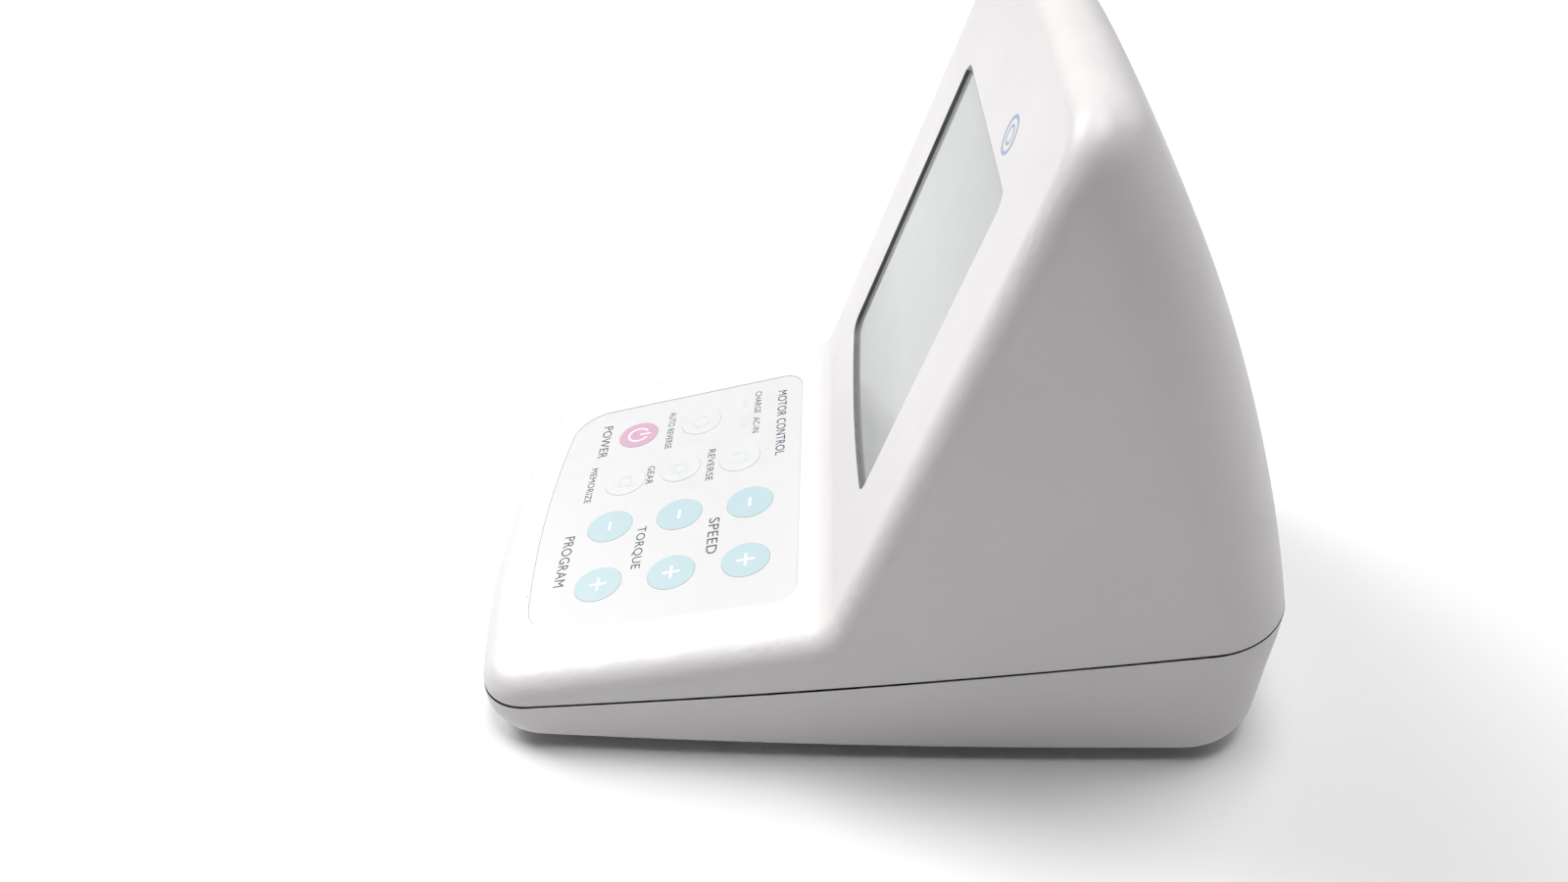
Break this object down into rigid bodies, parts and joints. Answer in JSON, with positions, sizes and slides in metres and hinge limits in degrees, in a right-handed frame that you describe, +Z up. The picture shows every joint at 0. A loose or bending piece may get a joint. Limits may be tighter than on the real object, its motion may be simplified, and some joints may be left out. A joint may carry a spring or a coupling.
{
  "type": "endodontic motor control unit",
  "caption": "Tabletop control unit for a root canal motor: sloping keypad deck, tall leaning display column, sloped case joint, rear sockets.",
  "frame": {"origin": "on the table, under the middle of the unit's outer box", "axes": "+X to the user's right, +Y to the rear, +Z up"},
  "size_m": [0.105, 0.1567, 0.1289],
  "materials": {
    "case_white": "fine satin, white moulding",
    "film_white": "printed film",
    "key_blue": "pale blue print under matt film",
    "key_pink": "mauve pink print under matt film",
    "key_soft": "white film with pale grey-green sign",
    "foot_rubber": "matt",
    "screw_steel": "plated",
    "switch_black": "moulded",
    "dome_steel": "spring steel",
    "board_green": "solder mask",
    "lamp_clear": "clear epoxy",
    "light_pipe_clear": "clear acrylic",
    "window_clear": "clear acrylic window",
    "gasket_dark": "foam",
    "bezel_dark": "moulded",
    "display_grey": "unlit reflective display, pale grey-green",
    "backlight_white": "light guide",
    "chip_black": "moulded package",
    "heat_sink_aluminium": "anodised",
    "can_aluminium": "drawn can",
    "connector_cream": "moulded",
    "ribbon_grey": "flat cable",
    "cell_wrap": "shrink wrap",
    "strap_nickel": "nickel strip",
    "lead_red": "insulated wire",
    "socket_metal": "nickel plated",
    "socket_black": "moulded",
    "contact_gold": "gold plated"
  },
  "bodies": {
    "case": {"upper_case": "case_white", "lower_case": "case_white", "battery_cover": "case_white", "battery_cover_screw": "screw_steel", "case_screws": "screw_steel", "rubber_feet": "foot_rubber", "keypad_film": "film_white", "tact_switches": "switch_black", "switch_domes": "dome_steel", "keypad_board": "board_green", "keypad_board_screws": "screw_steel", "indicator_lamps": "lamp_clear", "light_pipes": "light_pipe_clear", "display_window": "window_clear", "window_gasket": "gasket_dark", "display_bezel": "bezel_dark", "display_glass": "display_grey", "backlight": "backlight_white", "display_board": "board_green", "display_board_screws": "screw_steel", "main_board": "board_green", "main_board_screws": "screw_steel", "motor_driver": "chip_black", "heat_sink": "heat_sink_aluminium", "control_chip": "chip_black", "capacitors": "can_aluminium", "buzzer": "switch_black", "ribbon_connectors": "connector_cream", "keypad_ribbon": "ribbon_grey", "display_ribbon": "ribbon_grey", "battery_cells": "cell_wrap", "cell_straps": "strap_nickel", "battery_connector": "connector_cream", "battery_leads": "lead_red", "motor_socket": "socket_metal", "motor_socket_nut": "socket_metal", "motor_socket_insert": "socket_black", "motor_socket_contacts": "contact_gold", "power_jack": "socket_black", "power_jack_pin": "contact_gold"},
    "speed_plus": {"key_speed_plus": "key_blue"},
    "speed_minus": {"key_speed_minus": "key_blue"},
    "torque_plus": {"key_torque_plus": "key_blue"},
    "torque_minus": {"key_torque_minus": "key_blue"},
    "program_plus": {"key_program_plus": "key_blue"},
    "program_minus": {"key_program_minus": "key_blue"},
    "power": {"key_power": "key_pink"},
    "memorize": {"key_memorize": "key_soft"},
    "gear": {"key_gear": "key_soft"},
    "reverse": {"key_reverse": "key_soft"},
    "auto_reverse": {"key_auto_reverse": "key_soft"}
  },
  "joints": [
    {"name": "speed_plus_press", "type": "slide", "parent": "case", "child": "speed_plus", "axis": [0, 0.2343, -0.9722], "range_m": [0, 0.00035], "stiffness_N_per_m": 400},
    {"name": "speed_minus_press", "type": "slide", "parent": "case", "child": "speed_minus", "axis": [0, 0.2343, -0.9722], "range_m": [0, 0.00035], "stiffness_N_per_m": 400},
    {"name": "torque_plus_press", "type": "slide", "parent": "case", "child": "torque_plus", "axis": [0, 0.2343, -0.9722], "range_m": [0, 0.00035], "stiffness_N_per_m": 400},
    {"name": "torque_minus_press", "type": "slide", "parent": "case", "child": "torque_minus", "axis": [0, 0.2343, -0.9722], "range_m": [0, 0.00035], "stiffness_N_per_m": 400},
    {"name": "program_plus_press", "type": "slide", "parent": "case", "child": "program_plus", "axis": [0, 0.2343, -0.9722], "range_m": [0, 0.00035], "stiffness_N_per_m": 400},
    {"name": "program_minus_press", "type": "slide", "parent": "case", "child": "program_minus", "axis": [0, 0.2343, -0.9722], "range_m": [0, 0.00035], "stiffness_N_per_m": 400},
    {"name": "power_press", "type": "slide", "parent": "case", "child": "power", "axis": [0, 0.2343, -0.9722], "range_m": [0, 0.00035], "stiffness_N_per_m": 400},
    {"name": "memorize_press", "type": "slide", "parent": "case", "child": "memorize", "axis": [0, 0.2343, -0.9722], "range_m": [0, 0.00035], "stiffness_N_per_m": 400},
    {"name": "gear_press", "type": "slide", "parent": "case", "child": "gear", "axis": [0, 0.2343, -0.9722], "range_m": [0, 0.00035], "stiffness_N_per_m": 400},
    {"name": "reverse_press", "type": "slide", "parent": "case", "child": "reverse", "axis": [0, 0.2343, -0.9722], "range_m": [0, 0.00035], "stiffness_N_per_m": 400},
    {"name": "auto_reverse_press", "type": "slide", "parent": "case", "child": "auto_reverse", "axis": [0, 0.2343, -0.9722], "range_m": [0, 0.00035], "stiffness_N_per_m": 400}
  ]
}
